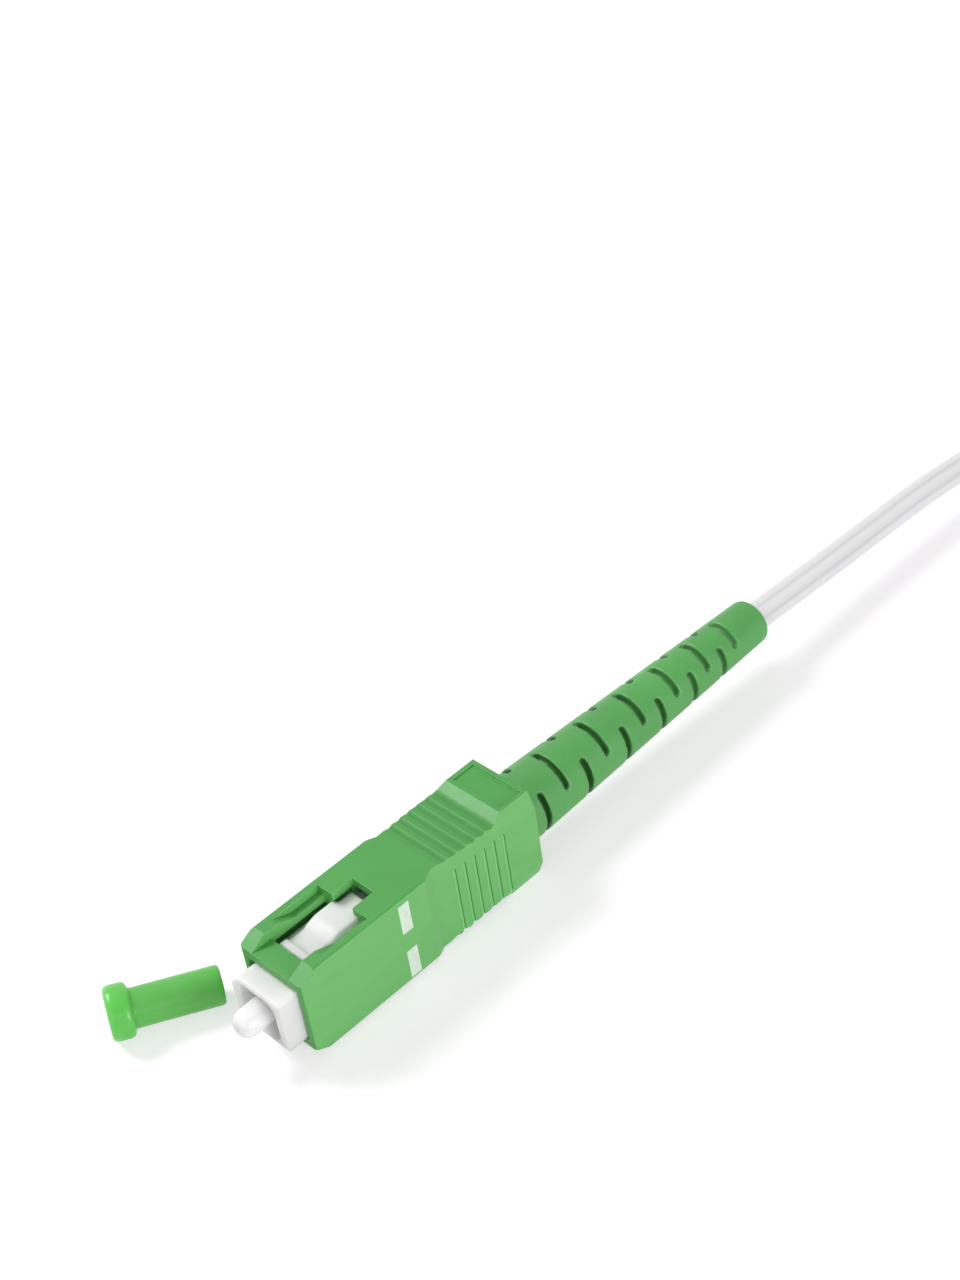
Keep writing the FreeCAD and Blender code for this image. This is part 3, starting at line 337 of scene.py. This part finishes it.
# In mm in the frame, unless they are shares of a pitch.
STRIPE_X = (12.59, 13.73)                 # the printed bars on the side that is marked
STRIPE_Z = ((0.80, 3.90), (-4.21, -1.21))
STRIPE_SIDE = -3.5                        # they show only where Y is below this
RIBS = (17.6, 1.06, 6)                    # start, pitch and count, along X
RIB_FOOT = (0.66, 0.075)                  # share where a flank starts, and half its line of painted shade at the foot
RIB_CREST = (0.98, 0.045)                 # share of the crest's painted highlight, and half its width
GROOVE_START = 19.0                       # the first side groove, along X
GROOVE_PITCH = 1.075
GROOVE_WIDTH = 0.3
GROOVE_COUNT = 6
GROOVE_Z = (-5.5, 2.75)                   # the shoulders show between these heights
GROOVE_BANK = (0.10, 0.30)                # shares from the groove's middle to its shoulder
GROOVE_LIT_SHARE = 0.15                         # share from the middle that gets painted light, paler against the groove's shade
BANK_BUMP = (0.00006, 0.6)                # its bump's distance in metres, and strength
EDGE_HIGHLIGHT = (0.00014, 3.0)                # radius of a painted edge highlight in metres, and strength
WALL_NORMAL = 0.8                         # the side walls' normals have more Y than this


def printed_bars(shader):
    """1 on the two printed bars of the marked side wall."""
    bars = None
    for low, high in STRIPE_Z:
        bar = inside(shader, 2, low * MM, high * MM)
        bars = shader.math("MAXIMUM", bars, bar) if bars else bar
    bars = shader.math("MULTIPLY", bars, inside(shader, 0, STRIPE_X[0] * MM, STRIPE_X[1] * MM))
    parts = shader.split("Object")
    return shader.math("MULTIPLY", bars, shader.math("LESS_THAN", (parts, 1), STRIPE_SIDE * MM))


def facing(shader, axis, limit):
    """1 on the faces that look along an axis, either way."""
    parts = shader.split("Normal")
    return shader.math("GREATER_THAN", shader.math("ABSOLUTE", (parts, axis), 0.0), limit)


def repeat(shader, start, pitch, count):
    """How far along its own pitch a point lies, 0..1, and 1 where the row is."""
    parts = shader.split("Object")
    along = shader.math("DIVIDE", shader.math("SUBTRACT", (parts, 0), start * MM), pitch * MM)
    row = inside(shader, 0, start * MM, (start + count * pitch) * MM)
    return shader.math("FRACT", along, 0.0), row


def groove_bank(shader, walls):
    """A soft shoulder on each side groove, as height 0..1, and 1 in the groove itself, where
    painted light goes.
    """
    # A pitch is counted from half a width before its groove, so the middle lies one width on.
    share, row = repeat(shader, GROOVE_START - GROOVE_WIDTH / 2, GROOVE_PITCH, GROOVE_COUNT)
    middle = GROOVE_WIDTH / GROOVE_PITCH
    away = shader.math("ABSOLUTE", shader.math("SUBTRACT", share, middle), 0.0)
    row = shader.math("MULTIPLY", row, walls)
    row = shader.math("MULTIPLY", row, inside(shader, 2, GROOVE_Z[0] * MM, GROOVE_Z[1] * MM))
    bank = shader.node("MapRange", interpolation_type="SMOOTHSTEP")
    bank.inputs["From Min"].default_value = GROOVE_BANK[0]
    bank.inputs["From Max"].default_value = GROOVE_BANK[1]
    shader.link(away, 0, bank, "Value")
    flat = shader.math("SUBTRACT", 1.0, row)
    height = shader.math("MAXIMUM", bank, flat)
    groove_lit = shader.math("MULTIPLY", row, shader.math("LESS_THAN", away, GROOVE_LIT_SHARE))
    return height, groove_lit


def rib_masks(shader, walls):
    """1 on the ribs' flanks and on the line at their feet, where painted shade goes, and on their
    crests, where a painted highlight goes.
    """
    share, row = repeat(shader, *RIBS)
    row = shader.math("MULTIPLY", row, shader.math("SUBTRACT", 1.0, walls))
    parts = (shader.math("GREATER_THAN", share, RIB_FOOT[0]),
             shader.math("COMPARE", share, *RIB_FOOT),
             shader.math("COMPARE", share, *RIB_CREST))
    return [shader.math("MULTIPLY", row, part) for part in parts]


def grip_material():
    """Green plastic: side walls painted paler as a sheen, painted shade and highlights on the ribs,
    painted edge highlights, painted light in the side grooves and the printed bars.
    """
    shader, tint = moulded("green_plastic", GREEN, 0.42, Subsurface_Weight=0.05,
                           Subsurface_Scale=0.0008, Subsurface_Radius=GREEN_SCATTER)
    walls = facing(shader, 1, WALL_NORMAL)
    streaks = shader.noise(600, 4.0, 0.65, stretch=(0.3, 1.0, 1.0))
    # The side walls take a paler copy of the green, a painted sheen.
    wall_sheen = shader.ramp(streaks, [(0.3, shade(WALL_SHEEN_GREEN, 0.96)), (0.7, shade(WALL_SHEEN_GREEN, 1.03))])
    colour = shader.mix(walls, tint, wall_sheen)
    flank, foot, crest = rib_masks(shader, walls)
    # Painted highlights along the edges.
    worn = shader.edges(*EDGE_HIGHLIGHT)
    height, groove_lit = groove_bank(shader, walls)
    # Painted shade on the rib flanks and at their feet, painted highlights on the crests and along
    # the edges, and painted light down in the side grooves.
    for mask, weight, paint in ((flank, 0.6, shade(GREEN, 0.75)), (foot, 0.55, shade(GREEN, 0.55)),
                                (crest, 0.3, HIGHLIGHT_GREEN), (worn, 0.5, HIGHLIGHT_GREEN),
                                (groove_lit, 0.8, GROOVE_LIGHT_GREEN)):
        colour = shader.mix(shader.math("MULTIPLY", mask, weight), colour, paint)
    ink = shader.ramp(shader.noise(2600, 3.0, 0.6),
                      [(0.25, linear(210, 232, 209)), (0.6, linear(228, 242, 227))])
    colour = shader.mix(printed_bars(shader), colour, ink)
    shader.link(colour, 2, shader.surface, "Base Color")
    worn_gloss = shader.math("ADD", shader.gloss, shader.math("MULTIPLY", flank, 0.3))
    shader.link(worn_gloss, 0, shader.surface, "Roughness")
    bank = shader.node("Bump")
    bank.inputs["Distance"].default_value = BANK_BUMP[0]
    bank.inputs["Strength"].default_value = BANK_BUMP[1]
    shader.link(height, 0, bank, "Height")
    shader.link(shader.last_bump, 0, bank, "Normal")
    shader.link(bank, 0, shader.surface, "Normal")
    return shader.material


def boot_material():
    """Softer green plastic, with painted shade down in the slots."""
    shader, tint = moulded("green_boot", BOOT_GREEN, 0.45, mottle=0.08, grain=0.6,
                           Subsurface_Weight=0.1, Subsurface_Scale=0.0012,
                           Subsurface_Radius=GREEN_SCATTER)
    # Painted shade down in the boot's slots.
    shader.link(shader.depth(tint, 0.0013, 0.38), 2, shader.surface, "Base Color")
    return shader.material


def cap_material():
    """Brighter green plastic that lets light in."""
    shader, _ = moulded("green_cap", CAP_GREEN, 0.30, mottle=0.06, grain=0.3,
                        Subsurface_Weight=0.8, Subsurface_Scale=0.0025,
                        Subsurface_Radius=(0.4, 1.0, 0.35))
    return shader.material


def frame_material():
    """White plastic that lets light in."""
    shader, _ = moulded("white_plastic", WHITE, 0.50, mottle=0.025, grain=0.3,
                        rounding=0.0003, Subsurface_Weight=0.7, Subsurface_Scale=0.002,
                        Subsurface_Radius=WHITE_SCATTER)
    return shader.material


def ceramic_material():
    """Polished white ceramic."""
    shader = Shader("zirconia")
    cast = shader.noise(700, 3.0, 0.5)
    tint = shader.ramp(cast, [(0.3, linear(247, 247, 245)), (0.7, linear(253, 253, 252))])
    shader.link(tint, 0, shader.surface, "Base Color")
    shader.link(shader.span(cast, 0.08, 0.18), 0, shader.surface, "Roughness")
    shader.bump([(shader.noise(9000, 2.0, 0.5), 0.000001, 0.3)], 0.0004)
    shader.set(Subsurface_Weight=0.8, Subsurface_Scale=0.002, Subsurface_Radius=WHITE_SCATTER)
    return shader.material


def metal_material(name, colour, roughness, turned=True):
    """Metal with a cloudy gloss; turned metal has fine rings about the axis of the part."""
    shader = Shader(name)
    clouds = shader.noise(500, 3.0, 0.6)
    rings = shader.noise(2600, 2.0, 0.6, stretch=(1.0, 0.04, 0.04) if turned else (1, 1, 1))
    tint = shader.ramp(clouds, [(0.25, shade(colour, 0.85)), (0.75, colour)])
    shader.link(tint, 0, shader.surface, "Base Color")
    shader.link(shader.span(clouds, roughness - 0.06, roughness + 0.1), 0,
                shader.surface, "Roughness")
    shader.bump([(rings, 0.000004, 0.4)], 0.00004)
    shader.set(Metallic=1.0)
    return shader.material


def fibre_material(name, colour, roughness, scale=3000, stretch=(0.05, 1.0, 1.0), depth=0.00003):
    """Yarn or drawn plastic: streaks along the part, unless the stretch is even."""
    shader = Shader(name)
    streaks = shader.noise(scale, 4.0, 0.6, stretch=stretch)
    tint = shader.ramp(streaks, [(0.3, shade(colour, 0.86)), (0.7, colour)])
    shader.link(tint, 0, shader.surface, "Base Color")
    shader.link(shader.span(streaks, roughness - 0.05, roughness + 0.08), 0,
                shader.surface, "Roughness")
    shader.bump([(streaks, depth, 0.4)])
    return shader.material


# The jacket's painted reflections: Y and Z of the way across them, and the grey at shares of that
# way, a painted highlight at 0, dark painted reflections near 0.43 and lighter rims towards 1.
REFLECTION_WAY = (-0.763, -0.647)
REFLECTION_GREY = ((0.0, 241), (0.22, 236), (0.43, 206), (0.62, 232), (0.9, 242))


def jacket_material():
    """White cable sheath: glossy, with painted reflections along it, two dark lines between a
    painted highlight and lighter rims.
    """
    shader = Shader("jacket")
    parts = shader.split("Normal")
    across = shader.math("ADD", shader.math("MULTIPLY", (parts, 1), REFLECTION_WAY[0]),
                         shader.math("MULTIPLY", (parts, 2), REFLECTION_WAY[1]))
    around = shader.math("ABSOLUTE", across, 0.0)
    # Painted reflections, set by which way each face of the strand looks.
    painted_reflection = shader.ramp(around, [(position, linear(grey, grey, grey + 1))
                                 for position, grey in REFLECTION_GREY])
    streaks = shader.noise(420, 3.0, 0.5, stretch=(0.12, 1.0, 1.0))
    fine = shader.noise(4200, 2.0, 0.5)
    tint = shader.ramp(streaks, [(0.3, linear(222, 222, 223)), (0.7, linear(236, 236, 237))])
    shader.link(shader.mix(0.3, painted_reflection, tint), 2, shader.surface, "Base Color")
    shader.link(shader.span(streaks, 0.16, 0.26), 0, shader.surface, "Roughness")
    shader.bump([(streaks, 0.00002, 0.2), (fine, 0.000003, 0.3)])
    shader.set(Subsurface_Weight=0.1, Subsurface_Scale=0.001, Subsurface_Radius=WHITE_SCATTER)
    return shader.material


# ---------------------------------------------------------------- copies that stand for nodes

# Body, slot, voxel size in mm, inward shrink in mm and smoothing steps of each moulded copy.
MOULDED = {
    "boot": ("plug", "green_boot", 0.17, 0.07, 2),
    "dust_cap": ("plug", "green_cap", 0.09, 0.0, 8),
    "plug_frame": ("plug", "white_plastic", 0.13, 0.08, 6),
    "ferrule": ("ferrule_group", "zirconia", 0.08, 0.0, 6),
}


def springy_copy(node, body):
    """The spring, as a copy with a mesh of its own on the given body; the CAD spring is hidden."""
    piece = bpy.data.objects.new(node + "_live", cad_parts[node].data.copy())
    bpy.context.collection.objects.link(piece)
    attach(piece, body)
    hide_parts(node)
    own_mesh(piece)
    return piece


def moulded_copy(node, body, slot, voxel, shrink, steps):
    """The same form with softer edges and slot mouths, and for some drawn in a little."""
    piece = bpy.data.objects.new(node + "_moulded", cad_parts[node].data.copy())
    bpy.context.collection.objects.link(piece)
    remesh = piece.modifiers.new("even_mesh", "REMESH")
    remesh.mode = "VOXEL"
    remesh.voxel_size = voxel * MM
    inward = piece.modifiers.new("shrink", "DISPLACE")
    inward.mid_level = 0.0
    inward.strength = -shrink * MM
    smooth = piece.modifiers.new("soft_edges", "SMOOTH")
    smooth.factor = 0.5
    smooth.iterations = steps
    solved = piece.evaluated_get(bpy.context.evaluated_depsgraph_get())
    mesh = bpy.data.meshes.new_from_object(solved)
    piece.modifiers.clear()
    piece.data = mesh
    mesh.shade_smooth()
    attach(piece, body)
    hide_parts(node)
    return piece


def dress(materials, lead, copies):
    """Gives each CAD node that is shown, each copy and the lead its material."""
    worn = {
        "grip_housing": "grip", "plug_frame": "frame", "ferrule": "ceramic",
        "ferrule_flange": "nickel", "guide_tube": "ptfe", "ferrule_spring": "steel",
        "stop_ring": "nickel", "buffered_fibre": "buffer", "aramid_yarn": "yarn",
        "crimp_ring": "copper", "boot": "boot", "cable_end": "jacket", "coil_tie": "tie",
        "dust_cap": "cap"}
    for node, key in worn.items():
        mesh = copies.get(node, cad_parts[node]).data
        mesh.materials.clear()
        mesh.materials.append(materials[key])
    lead.data.materials.append(materials["jacket"])


# ---------------------------------------------------------------- studio

PLUG_MIDDLE = (0.025, 0.0, 0.0)
SOFTBOXES = (                             # name, place, size and power
    ("side_softbox", (0.03, -0.60, 0.16), 0.36, 2.2),
    ("back_softbox", (-0.08, 0.37, 0.42), 0.25, 2.4),
    ("nose_softbox", (-0.52, -0.14, 0.18), 0.30, 0.55))
WHITE_LIGHT = (1.0, 1.0, 1.0, 1.0)
FILL_POWER = 0.30
FLOOR_HALF = 2.0                          # half the floor's side, in metres
GLOW_CENTRE = (0.06, 0.0, FLOOR_Z)
GLOW_REACH = (0.12, 0.40)                 # the floor's glow grows between these distances
GLOW_POWER = (0.57, 1.0)                  # from the first power to the second


def add_area(name, place, size, power):
    """A round soft light, aimed at the middle of the plug."""
    data = bpy.data.lights.new(name, "AREA")
    data.shape = "DISK"
    data.size = size
    data.energy = power
    light = bpy.data.objects.new(name, data)
    bpy.context.collection.objects.link(light)
    light.location = place
    aim = Vector(PLUG_MIDDLE) - light.location
    light.rotation_euler = aim.to_track_quat("-Z", "Y").to_euler()


def background(tree, power):
    """White light from all around, for the world's nodes."""
    made = tree.nodes.new("ShaderNodeBackground")
    made.inputs["Color"].default_value = WHITE_LIGHT
    made.inputs["Strength"].default_value = power
    return made


def make_world():
    """Camera, mirror and glass rays see white; everything else gets the fill light."""
    world = bpy.data.worlds.new("studio")
    bpy.context.scene.world = world
    world.use_nodes = True
    tree = world.node_tree
    tree.nodes.clear()
    rays = tree.nodes.new("ShaderNodeLightPath")
    seen = rays.outputs["Is Camera Ray"]
    for ray in ("Is Glossy Ray", "Is Transmission Ray"):
        either = tree.nodes.new("ShaderNodeMath")
        either.operation = "MAXIMUM"
        tree.links.new(seen, either.inputs[0])
        tree.links.new(rays.outputs[ray], either.inputs[1])
        seen = either.outputs[0]
    mix = tree.nodes.new("ShaderNodeMixShader")
    tree.links.new(seen, mix.inputs[0])
    tree.links.new(background(tree, FILL_POWER).outputs[0], mix.inputs[1])
    tree.links.new(background(tree, 1.0).outputs[0], mix.inputs[2])
    tree.links.new(mix.outputs[0], tree.nodes.new("ShaderNodeOutputWorld").inputs["Surface"])


def make_floor():
    """A wide flat sheet that keeps the soft shadow and glows white further out."""
    mesh = bpy.data.meshes.new("studio_floor")
    half = FLOOR_HALF
    corners = [(-half, -half), (half, -half), (half, half), (-half, half)]
    mesh.from_pydata([(x, y, FLOOR_Z) for x, y in corners], [], [(0, 1, 2, 3)])
    floor = bpy.data.objects.new("studio_floor", mesh)
    bpy.context.collection.objects.link(floor)
    shader = Shader("floor_paper")
    paper = shader.noise(60, 3.0, 0.5)
    tint = shader.ramp(paper, [(0.3, (0.56, 0.54, 0.56)), (0.7, (0.58, 0.56, 0.58))])
    shader.link(tint, 0, shader.surface, "Base Color")
    rays = shader.node("LightPath")
    seen = shader.math("MAXIMUM", (rays, "Is Camera Ray"), (rays, "Is Glossy Ray"))
    away = shader.node("VectorMath", operation="DISTANCE")
    away.inputs[1].default_value = GLOW_CENTRE
    shader.link(shader.place, "Object", away, 0)
    fade = shader.node("MapRange", interpolation_type="SMOOTHSTEP")
    for name, value in zip(("From Min", "From Max", "To Min", "To Max"), GLOW_REACH + GLOW_POWER):
        fade.inputs[name].default_value = value
    shader.link(away, "Value", fade, "Value")
    lift = shader.math("MULTIPLY", seen, fade)
    shader.surface.inputs["Emission Color"].default_value = WHITE_LIGHT
    shader.link(lift, 0, shader.surface, "Emission Strength")
    shader.set(Roughness=0.9, Specular_IOR_Level=0.0)
    mesh.materials.append(shader.material)


def make_studio():
    """White surroundings, the floor and three soft lights."""
    bpy.context.scene.view_settings.view_transform = "Standard"
    make_world()
    make_floor()
    for softbox in SOFTBOXES:
        add_area(*softbox)


# ---------------------------------------------------------------- the scene

add_camera()
lead = add_lead()
copies = {node: moulded_copy(node, *mould) for node, mould in MOULDED.items()}
copies["ferrule_spring"] = springy_copy("ferrule_spring", "ferrule_group")
make_studio()
materials = {
    "grip": grip_material(), "frame": frame_material(), "ceramic": ceramic_material(),
    "boot": boot_material(), "cap": cap_material(), "jacket": jacket_material(),
    "nickel": metal_material("nickel", (0.72, 0.70, 0.66), 0.28),
    "steel": metal_material("spring_steel", (0.62, 0.62, 0.63), 0.25, turned=False),
    "copper": metal_material("copper_ring", (0.76, 0.60, 0.34), 0.30),
    "ptfe": fibre_material("ptfe", linear(236, 236, 232), 0.45),
    "buffer": fibre_material("buffer", linear(240, 240, 240), 0.35),
    "yarn": fibre_material("yarn", linear(226, 190, 92), 0.75, depth=0.00012),
    "tie": fibre_material("tie", linear(70, 70, 72), 0.40, scale=1500, stretch=(1, 1, 1)),
}
dress(materials, lead, copies)
